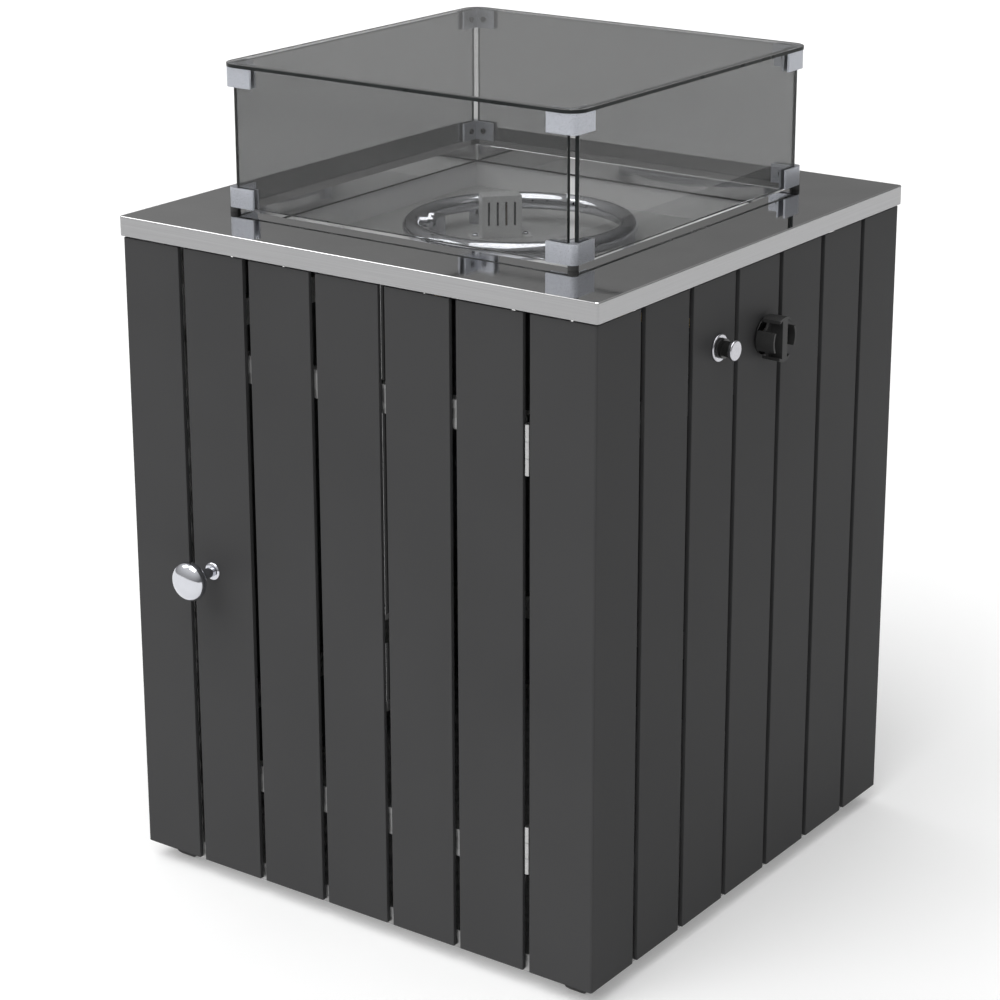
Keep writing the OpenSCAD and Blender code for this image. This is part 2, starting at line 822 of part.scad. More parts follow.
// Channel between the top rail and the upper cross rail, which holds the valve and the igniter
module control_bracket() {
    low_z = upper_rail_z + rail_h / 2;
    start_y = igniter_y - bracket_margin;
    size_y = valve_y + bracket_margin - start_y;
    color(galvanised) difference() {
        translate([bracket_x - bracket_lip, start_y, low_z])
            cube([bracket_lip + bracket_t, size_y, top_rail_z - low_z]);
        translate([bracket_x - bracket_lip - 1, start_y - 1, low_z + bracket_t])
            cube([bracket_lip + 1, size_y + 2, top_rail_z - low_z - 2 * bracket_t]);
        on_control_side(valve_y, valve_z) translate([0, 0, -2 * board_d])
            cylinder(r = valve_boss_d / 2 + free_gap, h = 2 * board_d);
        on_control_side(igniter_y, igniter_z) translate([0, 0, -2 * board_d])
            cylinder(r = igniter_d / 2 + free_gap, h = 2 * board_d);
    }
}

// Half-round shaft section with one flat
module stem_section(gap) {
    intersection() {
        circle(stem_d / 2 + gap);
        translate([-stem_d, -stem_d]) square([stem_d + stem_flat + gap, 2 * stem_d]);
    }
}

module gas_valve() {
    color(brass) on_control_side(valve_y, valve_z) difference() {
        union() {
            translate([-valve_w / 2, -valve_w / 2, valve_front - valve_len])
                cube([valve_w, valve_w, valve_len]);
            translate([0, 0, valve_front]) cylinder(d = valve_boss_d, h = board_d);
        }
        translate([0, 0, plug_back - free_gap])
            cylinder(r = plug_d / 2 + run_gap, h = plug_len + 2 * free_gap);
        translate([0, 0, plug_back]) cylinder(r = stem_d / 2 + run_gap, h = valve_len + board_d);
    }
}

// Turning plug inside the valve, with a keyed bore for the stem
module valve_plug() {
    color(brass) on_control_side(valve_y, valve_z) difference() {
        translate([0, 0, plug_back]) cylinder(d = plug_d, h = plug_len);
        translate([0, 0, plug_back - 1]) linear_extrude(plug_len + 2) stem_section(run_gap);
    }
}

module valve_stem() {
    start = plug_back + stem_start;
    end = control_start + control_hollow;
    color(steel) on_control_side(valve_y, valve_z)
        translate([0, 0, start]) linear_extrude(end - start) stem_section(0);
}

module valve_bezel() {
    color(black) on_control_side(valve_y, valve_z) difference() {
        cylinder(r = control_d / 2 - control_wall - valve_bezel_gap, h = valve_bezel_t);
        translate([0, 0, -1]) cylinder(d = valve_bezel_hole_d, h = valve_bezel_t + 2);
    }
}

// Knob with a grip bar between two pockets, hollow behind; flutes cut its wall into lobes
module control_knob() {
    r = control_d / 2;
    color(black) on_control_side(valve_y, valve_z) translate([0, 0, control_start]) difference() {
        cylinder(r = r, h = control_len);
        difference() {
            translate([0, 0, -1]) cylinder(r = r - control_wall, h = control_hollow + 1);
            translate([0, 0, -1]) cylinder(d = control_hub_d, h = control_hollow + 2);
        }
        translate([0, 0, -1]) linear_extrude(control_hollow + 1.2) stem_section(run_gap);
        difference() {
            translate([0, 0, control_hollow + control_web_t])
                cylinder(r = r - control_wall, h = control_len);
            cube([2 * control_d, grip_w, 4 * control_len], center = true);
        }
        for (i = [0 : flutes - 1])
            rotate([0, 0, (i + 0.5) * 360 / flutes])
                translate([r + flute_d / 2 - flute_depth, 0, -1])
                    cylinder(d = flute_d, h = control_len + 2);
    }
}

// Pipe from the valve's back to the feed elbow
module burner_pipe() {
    back = [face + valve_front - valve_len, valve_y, valve_z];
    bend = [back[0] - 16, valve_y, valve_z];
    feed = [feed_r * cos(feed_turn), feed_r * sin(feed_turn), valve_z];
    rise = pan_floor_z - elbow_below - valve_z;
    color(brass) {
        translate(bend) rotate([0, 90, 0]) cylinder(d = pipe_d, h = back[0] - bend[0]);
        translate(bend) sphere(pipe_fitting_d / 2);
        translate(feed) rotate([0, 0, atan2(bend[1] - feed[1], bend[0] - feed[0])])
            rotate([0, 90, 0]) cylinder(d = pipe_d, h = norm(bend - feed));
        translate(feed) sphere(pipe_fitting_d / 2);
        translate(feed) cylinder(d = pipe_d, h = rise);
    }
}

// Nut and plain tail under the valve for the gas hose
module hose_tail() {
    color(brass) translate([bracket_x - hose_inset, valve_y, valve_z - valve_w / 2]) {
        translate([0, 0, -hose_nut_h]) cylinder(d = hose_nut_d, h = hose_nut_h, $fn = 6);
        translate([0, 0, -hose_nut_h - hose_tail_l]) cylinder(d = hose_tail_d, h = hose_tail_l);
    }
}

// Piezo igniter's housing, its shoulder behind the bracket
module igniter_body() {
    color(black) on_control_side(igniter_y, igniter_z) difference() {
        union() {
            translate([0, 0, -igniter_len]) cylinder(d = igniter_d, h = igniter_len + igniter_collar);
            translate([0, 0, valve_front - igniter_shoulder_t])
                cylinder(d = igniter_shoulder_d, h = igniter_shoulder_t);
        }
        translate([0, 0, -plunger_in - igniter_travel - 1])
            cylinder(r = plunger_d / 2 + run_gap, h = igniter_len);
    }
}

module igniter_bezel() {
    outer = bezel_d / 2;
    hole = igniter_d / 2 + free_gap;
    color(polished) on_control_side(igniter_y, igniter_z) rotate_extrude() {
        translate([hole, 0]) square([outer - edge_round - hole, bezel_t]);
        translate([hole, 0]) square([outer - hole, bezel_t - edge_round]);
        translate([outer - edge_round, bezel_t - edge_round]) circle(edge_round);
    }
}

module igniter_plunger() {
    color(black) on_control_side(igniter_y, igniter_z) translate([0, 0, -plunger_in])
        cylinder(d = plunger_d, h = plunger_in + cap_start);
}

module igniter_cap() {
    color(polished) on_control_side(igniter_y, igniter_z) translate([0, 0, cap_start])
        rotate_extrude() {
            square([cap_d / 2 - edge_round, cap_t]);
            square([cap_d / 2, cap_t - edge_round]);
            translate([cap_d / 2 - edge_round, cap_t - edge_round]) circle(edge_round);
        }
}

// Wind guard and lid

module pane(n) {
    color(smoke) on_side(n) translate([-pane_end, -pane_face, pane_low_z])
        cube([2 * pane_end, pane_t, pane_top_z - pane_low_z]);
}

// Two walls that grip the panes, joined by a block between the panes' ends, and bored for screws
module clip() {
    screw_at = (clip_end + clip_inner) / 2;
    difference() {
        union() {
            linear_extrude(clip_h) {
                corner_strip(clip_end, clip_face - clip_t, clip_face, clip_corner_r);
                corner_strip(clip_end, clip_inner - clip_t, clip_inner, 0);
            }
            linear_extrude(clip_h) intersection() {
                corner_strip(clip_end, clip_inner - clip_t, clip_face, clip_corner_r);
                translate((pane_end + free_gap) * [1, 1]) square(clip_wing);
            }
        }
        for (turn = [0, 1]) mirror(turn * [1, -1, 0])
            translate([clip_inner - clip_t - 1, screw_at, clip_h / 2]) rotate([0, 90, 0])
                cylinder(r = screw_d / 2 + run_gap, h = clip_t + 2);
    }
}

module lower_clips() {
    color(steel) for (n = [0 : 3]) on_side(n) translate([0, 0, clip_low_z]) clip();
}

module upper_clips() {
    color(steel) for (n = [0 : 3]) on_side(n)
        translate([0, 0, clip_top_z]) mirror([0, 0, 1]) clip();
}

// Clamping screws, one in each wing of each clip, with their heads inside the guard
module clip_screws() {
    screw_at = (clip_end + clip_inner) / 2;
    levels = [clip_low_z + clip_h / 2, clip_top_z - clip_h / 2];
    color(black) for (n = [0 : 3], z = levels, turn = [0, 1]) on_side(n) mirror(turn * [1, -1, 0])
        translate([clip_inner - clip_t, screw_at, z]) rotate([0, 90, 0]) {
            translate([0, 0, -screw_head_t]) cylinder(d = screw_head_d, h = screw_head_t);
            cylinder(d = screw_d, h = clip_t + pane_play - run_gap);
        }
}

module guard_feet() {
    middle = (clip_face + clip_inner - clip_t) / 2;
    color(black) for (x = [-1, 1], y = [-1, 1])
        translate([x * middle, y * middle, top_z]) cylinder(d = guard_foot_d, h = guard_foot_h);
}

module glass_lid() {
    color(smoke) translate([0, 0, clip_top_z]) linear_extrude(lid_t)
        rounded_square(lid_w, lid_corner_r);
}

base_rails();
floor_tray();
feet();
corner_posts();
door_jambs();
cross_rails(1);  // right_rails
cross_rails(2);  // back_rails
cross_rails(3);  // left_rails
top_rails();
corner_boards();
right_boards();
side_boards(2);  // back_boards
side_boards(3);  // left_boards
table_top();
burner_pan();
ring_burner();
burner_stands();
feed_elbow();
ignition_hood();
spark_electrode();
thermocouple();
control_bracket();
gas_valve();
burner_pipe();
hose_tail();
valve_bezel();
igniter_body();
igniter_bezel();
hinge_frame_leaf(upper_hinge_z);  // upper_hinge_frame_leaf
hinge_frame_leaf(lower_hinge_z);  // lower_hinge_frame_leaf
hinge_pin(upper_hinge_z);  // upper_hinge_pin
hinge_pin(lower_hinge_z);  // lower_hinge_pin
door_catch();
valve_plug();
valve_stem();
control_knob();
igniter_plunger();
igniter_cap();
door_board(1);  // door_board_1
door_board(2);  // door_board_2
door_board(3);  // door_board_3
door_board(4);  // door_board_4
door_board(5);  // door_board_5
door_rail(upper_rail_z);  // upper_door_rail
door_rail(lower_rail_z);  // lower_door_rail
door_knob();
knob_rosette();
catch_plate();
hinge_door_leaf(upper_hinge_z);  // upper_hinge_door_leaf
hinge_door_leaf(lower_hinge_z);  // lower_hinge_door_leaf
pane(0);  // front_pane
pane(1);  // right_pane
pane(2);  // back_pane
pane(3);  // left_pane
upper_clips();
lower_clips();
clip_screws();
guard_feet();
glass_lid();
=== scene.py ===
# %% [markdown]
# # Gas fire pit table
# A slatted metal cabinet carries a polished steel top, a sunken ring burner and a glass wind guard
# with a lid. The imported model is the fixed frame: every piece below sits in its coordinates, in
# metres, and rides on one of its bodies.

# %% Load the frame
import math

import bmesh
import bpy
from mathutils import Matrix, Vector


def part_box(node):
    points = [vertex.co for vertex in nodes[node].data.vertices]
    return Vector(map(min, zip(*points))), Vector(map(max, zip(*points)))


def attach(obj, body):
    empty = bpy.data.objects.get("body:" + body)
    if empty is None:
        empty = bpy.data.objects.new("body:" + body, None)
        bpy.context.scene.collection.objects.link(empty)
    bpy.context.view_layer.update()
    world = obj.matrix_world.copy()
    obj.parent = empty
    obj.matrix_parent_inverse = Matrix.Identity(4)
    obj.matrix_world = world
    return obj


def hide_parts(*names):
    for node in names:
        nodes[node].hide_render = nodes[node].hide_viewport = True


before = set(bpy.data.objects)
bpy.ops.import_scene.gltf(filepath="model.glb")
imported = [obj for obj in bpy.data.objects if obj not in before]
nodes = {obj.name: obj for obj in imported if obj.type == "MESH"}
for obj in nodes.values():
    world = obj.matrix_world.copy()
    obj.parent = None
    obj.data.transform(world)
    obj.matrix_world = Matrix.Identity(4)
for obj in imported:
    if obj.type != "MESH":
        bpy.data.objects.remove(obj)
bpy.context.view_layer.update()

# %% [markdown]
# ## Camera
# The photograph looks down on the front and right sides. Its vanishing lines give the angle, the
# distance and a long lens; the shift puts the table where it stands in the frame without tilting
# the camera, which would bend the upright lines.

# %% Camera
lens = bpy.data.cameras.new("photo_camera")
lens.lens, lens.sensor_width = 98.644, 36.0
lens.shift_x, lens.shift_y = -0.0195, -0.1126
camera = bpy.data.objects.new("photo_camera", lens)
bpy.context.scene.collection.objects.link(camera)
camera.location = (1.6466, -2.3330, 1.4042)
camera.rotation_euler = (math.radians(72.934), 0.0, math.radians(35.22))
bpy.context.scene.camera = camera
bpy.context.scene.view_settings.view_transform = "Standard"
print("camera at", tuple(camera.location))

# %% [markdown]
# ## Working habits
# An operator acts on all that is selected, so a piece is always started with nothing selected.
# Edges and faces are then picked in code by their place or direction, as a hand would pick them
# in the viewport. Every piece ends with its place in its own mesh and its object at the origin.

# %% Helpers for modelling
def put_down():
    """Leaves edit mode and deselects everything."""
    if bpy.context.object and bpy.context.object.mode == "EDIT":
        bpy.ops.object.mode_set(mode="OBJECT")
    bpy.ops.object.select_all(action="DESELECT")


def take_up(piece):
    """Selects one piece and makes it active."""
    put_down()
    piece.select_set(True)
    bpy.context.view_layer.objects.active = piece


def name_piece(name):
    """Names the primitive that was just added and moves its place into its mesh."""
    piece = bpy.context.object
    piece.name = piece.data.name = name
    bpy.ops.object.transform_apply(location=True, rotation=True, scale=True)
    return piece


def pick(piece, kind, test):
    """In edit mode, selects the edges or faces for which test(centre, direction) holds."""
    if piece.mode != "EDIT":
        bpy.ops.object.mode_set(mode="EDIT")
    bpy.ops.mesh.select_mode(type=kind)
    bpy.ops.mesh.select_all(action="DESELECT")
    mesh = bmesh.from_edit_mesh(piece.data)
    mesh.normal_update()
    count = 0
    for item in mesh.edges if kind == "EDGE" else mesh.faces:
        centre = sum((v.co for v in item.verts), item.verts[0].co * 0) / len(item.verts)
        way = (item.verts[1].co - item.verts[0].co).normalized() if kind == "EDGE" else item.normal
        if test(centre, way):
            item.select_set(True)
            count += 1
    mesh.select_flush_mode()
    bmesh.update_edit_mesh(piece.data)
    return count


def round_edges(piece, width, steps, angle=35):
    """Rounds every edge sharper than the angle with an applied bevel."""
    take_up(piece)
    bevel = piece.modifiers.new("round_edges", "BEVEL")
    bevel.width, bevel.segments = width, steps
    bevel.limit_method, bevel.angle_limit = "ANGLE", math.radians(angle)
    bpy.ops.object.modifier_apply(modifier=bevel.name)


def smooth(piece, angle=40):
    """Shades round forms smooth, leaves sharper edges crisp and keeps large flat faces flat."""
    take_up(piece)
    bpy.ops.object.shade_smooth_by_angle(angle=math.radians(angle))
    even = piece.modifiers.new("even_shading", "WEIGHTED_NORMAL")
    even.weight, even.keep_sharp = 100, True
    bpy.ops.object.modifier_apply(modifier=even.name)


def fit_out(piece, body, slot, finishes, *stands_for):
    """Gives a finished piece its finishes, its body and the CAD nodes that it stands for."""
    put_down()
    piece.data.materials.clear()
    for finish in finishes:
        piece.data.materials.append(finish)
    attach(piece, body)
    if stands_for:
        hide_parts(*stands_for)
    print(piece.name, "rides on", body, "with", len(piece.data.polygons), "faces")


def second_finish(piece, test):
    """Gives the second finish of a piece to the faces for which test(centre, direction) holds."""
    take_up(piece)
    count = pick(piece, "FACE", test)
    piece.active_material_index = 1
    bpy.ops.object.material_slot_assign()
    put_down()
    return count


# %% [markdown]
# ## Finishes
# Each finish is a small node tree on object coordinates, so a texture's scale is in metres: a noise
# scale of 1000 gives a grain of about a millimetre. Helpers lay down a grain, turn it into a range
# of colour or roughness, and raise it as a bump. Values that don't vary go straight on the shader.

# %% Helpers for finishes
def new_finish(name, metal=0.0):
    """Starts a finish, and returns it with its node tree and its shader."""
    finish = bpy.data.materials.new(name)
    finish.use_nodes = True
    shader = finish.node_tree.nodes["Principled BSDF"]
    shader.inputs["Metallic"].default_value = metal
    return finish, finish.node_tree, shader


def grain(tree, scale, detail=3.0, stretch=(1.0, 1.0, 1.0), cells=False):
    """A noise or cell pattern on object coordinates; the stretch scales each axis."""
    place = tree.nodes.new("ShaderNodeTexCoord")
    fit = tree.nodes.new("ShaderNodeMapping")
    fit.inputs["Scale"].default_value = stretch
    pattern = tree.nodes.new("ShaderNodeTexVoronoi" if cells else "ShaderNodeTexNoise")
    pattern.inputs["Scale"].default_value = scale
    tree.links.new(place.outputs["Object"], fit.inputs["Vector"])
    tree.links.new(fit.outputs["Vector"], pattern.inputs["Vector"])
    if cells:
        return pattern.outputs["Color"]
    pattern.inputs["Detail"].default_value = detail
    return pattern.outputs[0]


def between(tree, pattern, low, high, start=0.3, end=0.7):
    """Turns a pattern into a range from low to high."""
    ramp = tree.nodes.new("ShaderNodeValToRGB")
    stops = ramp.color_ramp.elements
    stops[0].position, stops[1].position = start, end
    for stop, value in zip(stops, (low, high)):
        stop.color = (*value, 1.0) if isinstance(value, tuple) else (value, value, value, 1.0)
    tree.links.new(pattern, ramp.inputs["Fac"])
    return ramp.outputs["Color"]


def raise_grain(tree, shader, pattern, depth, strength):
    """Lets a pattern stand up from the surface by its depth in metres."""
    bump = tree.nodes.new("ShaderNodeBump")
    bump.inputs["Strength"].default_value = strength
    bump.inputs["Distance"].default_value = depth
    tree.links.new(pattern, bump.inputs["Height"])
    tree.links.new(bump.outputs["Normal"], shader.inputs["Normal"])


def metal_finish(name, low, high, rough, scale, stretch=(1, 1, 1), depth=0.00002, cells=False):
    """A bare metal: its grain varies the tone and the roughness, and is felt as a faint relief."""
    finish, tree, shader = new_finish(name, metal=1.0)
    pattern = grain(tree, scale, detail=4.0, stretch=stretch, cells=cells)
    tree.links.new(between(tree, pattern, low, high), shader.inputs["Base Color"])
    tree.links.new(between(tree, pattern, *rough), shader.inputs["Roughness"])
    raise_grain(tree, shader, pattern, depth, strength=0.4)
    return finish


def moulded_finish(name, low, high, rough, scale, depth, shine=0.5):
    """A moulded or fired material: a fine skin texture over a change of tone 30 times as wide."""
    finish, tree, shader = new_finish(name)
    slow, fine = grain(tree, scale / 30), grain(tree, scale)
    tree.links.new(between(tree, slow, low, high), shader.inputs["Base Color"])
    tree.links.new(between(tree, slow, *rough), shader.inputs["Roughness"])
    shader.inputs["Specular IOR Level"].default_value = shine
    raise_grain(tree, shader, fine, depth, strength=0.5)
    return finish


# %% [markdown]
# The boards are folded sheet metal with a dark slate powder coat. A coat like this has a very fine
# orange-peel skin, so it shines softly and never like glass. One broad noise shifts the tone a
# little along the boards, and a fine one makes the skin.

# %% Slate powder coat
slate_paint, tree, shader = new_finish("slate_paint")
broad, skin = grain(tree, 5.0, detail=2.0), grain(tree, 900.0, detail=2.0)
tone = between(tree, broad, (0.050, 0.050, 0.051), (0.056, 0.056, 0.057))
tree.links.new(tone, shader.inputs["Base Color"])
tree.links.new(between(tree, broad, 0.52, 0.60), shader.inputs["Roughness"])
shader.inputs["Specular IOR Level"].default_value = 0.1
raise_grain(tree, shader, skin, depth=0.00006, strength=0.35)
print("made", slate_paint.name)

# %% [markdown]
# The table top is one stainless sheet, polished to a mirror on its upper side and in the opening,
# while the folded rim is left brushed along its length. They are two finishes on one piece: a
# nearly even mirror with faint wipe marks, and a noise drawn out into level brush lines. The burner
# ring is stainless too: bright drawn tube, a little darker than the top.

# %% Stainless steel
polished_steel = metal_finish(
    "polished_steel", 0.74, 0.80, rough=(0.035, 0.07), scale=14.0, depth=0.000004)
brushed_rim = metal_finish(
    "brushed_rim", (0.35, 0.35, 0.355), (0.42, 0.42, 0.425), rough=(0.30, 0.42), scale=1.0,
    stretch=(9.0, 9.0, 2600.0))
burner_steel = metal_finish(
    "burner_steel", (0.52, 0.53, 0.56), (0.62, 0.63, 0.66), rough=(0.05, 0.10), scale=220.0,
    stretch=(1, 1, 4), depth=0.000005)
print("made", polished_steel.name, brushed_rim.name, burner_steel.name)

# %% [markdown]
# The clips are cast, the pan and the ignition hood are pressed, and all are blasted with fine
# beads. Such a surface scatters light as paint does and still shines as metal, so it is made only
# partly metallic.

# %% Blasted steel
def blasted_finish(name, low, high, metal, rough):
    """A bead-blasted metal: one fine grain for its tone, its roughness and its relief."""
    finish, tree, shader = new_finish(name, metal)
    beads = grain(tree, 1600.0)
    tree.links.new(between(tree, beads, low, high), shader.inputs["Base Color"])
    tree.links.new(between(tree, beads, *rough), shader.inputs["Roughness"])
    raise_grain(tree, shader, beads, depth=0.000002, strength=0.3)
    return finish


clip_steel = blasted_finish(
    "clip_steel", (0.41, 0.425, 0.465), (0.435, 0.45, 0.49), metal=0.6, rough=(0.26, 0.32))
hood_steel = blasted_finish("hood_steel", 0.54, 0.62, metal=0.35, rough=(0.38, 0.48))
pan_steel = blasted_finish("pan_steel", 0.68, 0.76, metal=0.2, rough=(0.34, 0.44))
# The pan's floor is the pan steel painted darker, as shade against the light from above.
pan_floor_painted_shade = blasted_finish("pan_floor_painted_shade", 0.40, 0.47, metal=0.3, rough=(0.34, 0.44))
print("made", clip_steel.name, hood_steel.name, pan_steel.name, pan_floor_painted_shade.name)

# %% [markdown]
# The frame is galvanised tube, which shows a spangle of zinc crystals about a centimetre wide. A
# cell pattern gives each crystal its own tone. The hinges are bright zinc, the knob and the
# igniter are chromed, the igniter less brightly, and the gas fittings are turned brass. The copper
# of the thermocouple has gone dark in the heat, and the clip screws are blackened.

# %% Zinc, chrome, brass and copper
galvanised = metal_finish(
    "galvanised", 0.30, 0.42, rough=(0.34, 0.48), scale=110.0, depth=0.00001, cells=True)
bright_zinc = metal_finish("bright_zinc", 0.44, 0.54, rough=(0.30, 0.42), scale=400.0)
chrome = metal_finish(
    "chrome", (0.60, 0.61, 0.65), (0.64, 0.65, 0.69), rough=(0.10, 0.14), scale=60.0,
    depth=0.000003)
satin_chrome = metal_finish(
    "satin_chrome", (0.47, 0.47, 0.50), (0.53, 0.53, 0.56), rough=(0.18, 0.26), scale=300.0)
brass = metal_finish(
    "brass", (0.66, 0.46, 0.17), (0.78, 0.57, 0.24), rough=(0.22, 0.34), scale=500.0)
copper = metal_finish(
    "copper", (0.20, 0.12, 0.08), (0.28, 0.17, 0.12), rough=(0.30, 0.44), scale=500.0)
# This finish also paints shade: the plate that closes the hood's back is made near black with it.
blackened_and_shade = metal_finish("blackened_steel_and_shade", 0.03, 0.06, rough=(0.30, 0.42), scale=800.0)
print("made 7 metal finishes")

# %% [markdown]
# The control knob, the bezel behind it and the feet are moulded black plastic, the guard stands on
# rubber pads, and the spark electrode has a white fired sleeve. The knob shines less than its
# bezel, because hands have dulled it.

# %% Plastic, rubber and ceramic
black_plastic = moulded_finish(
    "black_plastic", 0.010, 0.016, rough=(0.16, 0.24), scale=1500.0, depth=0.00001)
knob_plastic = moulded_finish(
    "knob_plastic", 0.024, 0.032, rough=(0.34, 0.42), scale=1500.0, depth=0.00001, shine=0.2)
foot_plastic = moulded_finish(
    "foot_plastic", 0.012, 0.020, rough=(0.45, 0.60), scale=1200.0, depth=0.00003)
black_rubber = moulded_finish(
    "black_rubber", 0.014, 0.024, rough=(0.65, 0.80), scale=900.0, depth=0.00005)
ceramic = moulded_finish(
    "ceramic", (0.72, 0.70, 0.66), (0.80, 0.78, 0.74), rough=(0.25, 0.35), scale=700.0,
    depth=0.00001)
print("made 5 moulded finishes")

# %% [markdown]
# The guard is smoked safety glass. Glass that bends light would keep lamp light out and darken what
# the polished steel mirrors, so shadow rays and mirror rays meet a clear stand-in instead, and the
# burner inside is lit as in the photograph. A ray that has entered the glass counts as a mirror ray
# too, so it is given the glass back. The upright panes have a faint film, as glass near a fire has,
# that scatters a twentieth of the light. The ground edges of each pane are dark and matt, and that
# is what draws the outline of the guard.

# %% Smoked glass
def glass_finish(name, tint, clean):
    """Tinted glass with faint wipe marks; clean is the share of light that no film scatters."""
    finish, tree, shader = new_finish(name)
    wiped = tuple(0.97 * part for part in tint)
    shade = between(tree, grain(tree, 7.0, detail=4.0), wiped, tint)
    tree.links.new(shade, shader.inputs["Base Color"])
    shader.inputs["Roughness"].default_value = 0.005
    shader.inputs["Transmission Weight"].default_value = clean
    shader.inputs["IOR"].default_value = 1.2
    clear = tree.nodes.new("ShaderNodeBsdfTransparent")
    clear.inputs["Color"].default_value = (0.97, 0.97, 0.97, 1.0)
    path, look = tree.nodes.new("ShaderNodeLightPath"), shader.outputs["BSDF"]
    meets = {"Is Glossy Ray": clear, "Is Transmission Ray": shader, "Is Shadow Ray": clear}
    for ray, surface in meets.items():
        mix = tree.nodes.new("ShaderNodeMixShader")
        tree.links.new(path.outputs[ray], mix.inputs["Fac"])
        tree.links.new(look, mix.inputs[1])
        tree.links.new(surface.outputs["BSDF"], mix.inputs[2])
        look = mix.outputs["Shader"]
    tree.links.new(look, tree.nodes["Material Output"].inputs["Surface"])
    return finish


pane_glass = glass_finish("pane_glass", (0.375, 0.378, 0.378), clean=0.95)
lid_glass = glass_finish("lid_glass", (0.475, 0.478, 0.478), clean=1.0)
glass_edge = moulded_finish(
    "glass_edge", (0.012, 0.014, 0.014), (0.022, 0.025, 0.025), rough=(0.25, 0.40), scale=900.0,
    depth=0.00002, shine=0.1)
print("made", pane_glass.name, lid_glass.name, glass_edge.name)

# %% [markdown]
# ## Table top
# The real top is cut from one sheet and folded on four sides, with the burner opening turned down
# in the middle. Nearly the same steps make it here: the outlines of two planes with rounded corners
# are bridged into a flat frame, its outer and inner edges are pulled down, the folds are rounded,
# and only then the sheet gets its thickness, so that it stays even round every fold.

# %% Fold the table sheet
top_w, top_z, opening_w = 0.600, 0.737, 0.414
rim_h, skirt_h, sheet_t = 0.021, 0.019, 0.002
corner_r, outer_fold, inner_fold = 0.003, 0.0016, 0.0009
corner_cut, slack = 0.0016, 0.0001


def pick_outline(half):
    """Picks the top's level edges round a square of this half width, rounded corners included."""
    return pick(table_sheet, "EDGE", lambda at, way: abs(at.z - top_z) < 1e-5
                and half - corner_cut < max(abs(at.x), abs(at.y)) < half + slack)


put_down()
bpy.ops.mesh.primitive_plane_add(size=top_w, location=(0, 0, top_z))
table_sheet = name_piece("table_sheet")
pick(table_sheet, "FACE", lambda at, way: True)
bpy.ops.mesh.bevel(offset=corner_r, segments=6, affect="VERTICES")
bpy.ops.mesh.primitive_plane_add(size=opening_w, location=(0, 0, top_z))
bpy.ops.mesh.bevel(offset=corner_r, segments=6, affect="VERTICES")
bpy.ops.mesh.select_all(action="SELECT")
bpy.ops.mesh.delete(type="ONLY_FACE")
bpy.ops.mesh.select_all(action="SELECT")
bpy.ops.mesh.bridge_edge_loops()
for half, drop in ((top_w / 2, rim_h), (opening_w / 2, skirt_h)):
    pick_outline(half)
    bpy.ops.mesh.extrude_edges_move(TRANSFORM_OT_translate={"value": (0, 0, -drop)})
bpy.ops.mesh.select_all(action="SELECT")
bpy.ops.mesh.normals_make_consistent(inside=False)
folds = 0
for half, radius in ((top_w / 2, outer_fold), (opening_w / 2, inner_fold)):
    folds += pick_outline(half)
    bpy.ops.mesh.bevel(offset=radius, segments=4, affect="EDGES")
print("fold edges:", folds)

# %% [markdown]
# The folded form is still a skin without thickness. A solidify modifier makes it a sheet, and the
# faces that are polished get the mirror: all that look up or down, and the skirt of the opening.

# %% Thicken and finish the table sheet
take_up(table_sheet)
sheet = table_sheet.modifiers.new("sheet", "SOLIDIFY")
sheet.thickness, sheet.offset = sheet_t, -1.0
bpy.ops.object.modifier_apply(modifier=sheet.name)
fit_out(table_sheet, "cabinet", "polished_steel", [brushed_rim, polished_steel], "table_top")
second_finish(table_sheet, lambda at, way: abs(way.z) > 0.5
              or max(abs(at.x), abs(at.y)) < opening_w / 2 + 2 * sheet_t)
smooth(table_sheet, angle=32)
print("table sheet box:", [round(v, 4) for v in table_sheet.dimensions])

# %% [markdown]
# ## Wind guard
# A pane is a plain slab of safety glass whose edges are ground: the arrises are taken off by hand
# so that they don't cut. Each slab starts as a cube at the node's own box, its edges are bevelled a
# little, and the narrow faces round it get the dark ground finish. The lid is the same with four
# large rounded corners.

# %% Cut the panes and the lid
arris, lid_corner = 0.0006, 0.020


def cut_glass(node, body, finish, corner=0.0):
    """Cuts a slab to the box of a node, rounds its corners if asked, and grinds its edges."""
    low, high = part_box(node)
    middle = [(a + b) / 2 for a, b in zip(low, high)]
    size = [b - a for a, b in zip(low, high)]
    put_down()
    bpy.ops.mesh.primitive_cube_add(size=1, location=middle, scale=size)
    slab = name_piece(node + "_glass")
    thin = size.index(min(size))
    if corner:
        pick(slab, "EDGE", lambda at, way: abs(way[thin]) > 0.9)
        bpy.ops.mesh.bevel(offset=corner, segments=14, affect="EDGES")
    round_edges(slab, width=arris, steps=2, angle=60)
    fit_out(slab, body, "smoked_glass", [finish, glass_edge], node)
    second_finish(slab, lambda at, way: abs(way[thin]) < 0.9)
    take_up(slab)
    bpy.ops.object.shade_flat()


for side in ("front", "right", "back", "left"):
    cut_glass(side + "_pane", "guard", pane_glass)
cut_glass("glass_lid", "lid", lid_glass, lid_corner)

# %% [markdown]
# ## Door knob
# The knob is a turned and chromed piece: a rose on the board, a slim neck and a flattened ball. It
# could be a sphere with a cylinder stuck on, but a lathe leaves one unbroken skin, so it is made
# like that: a circle is pulled out step by step and scaled to the radius of each step.

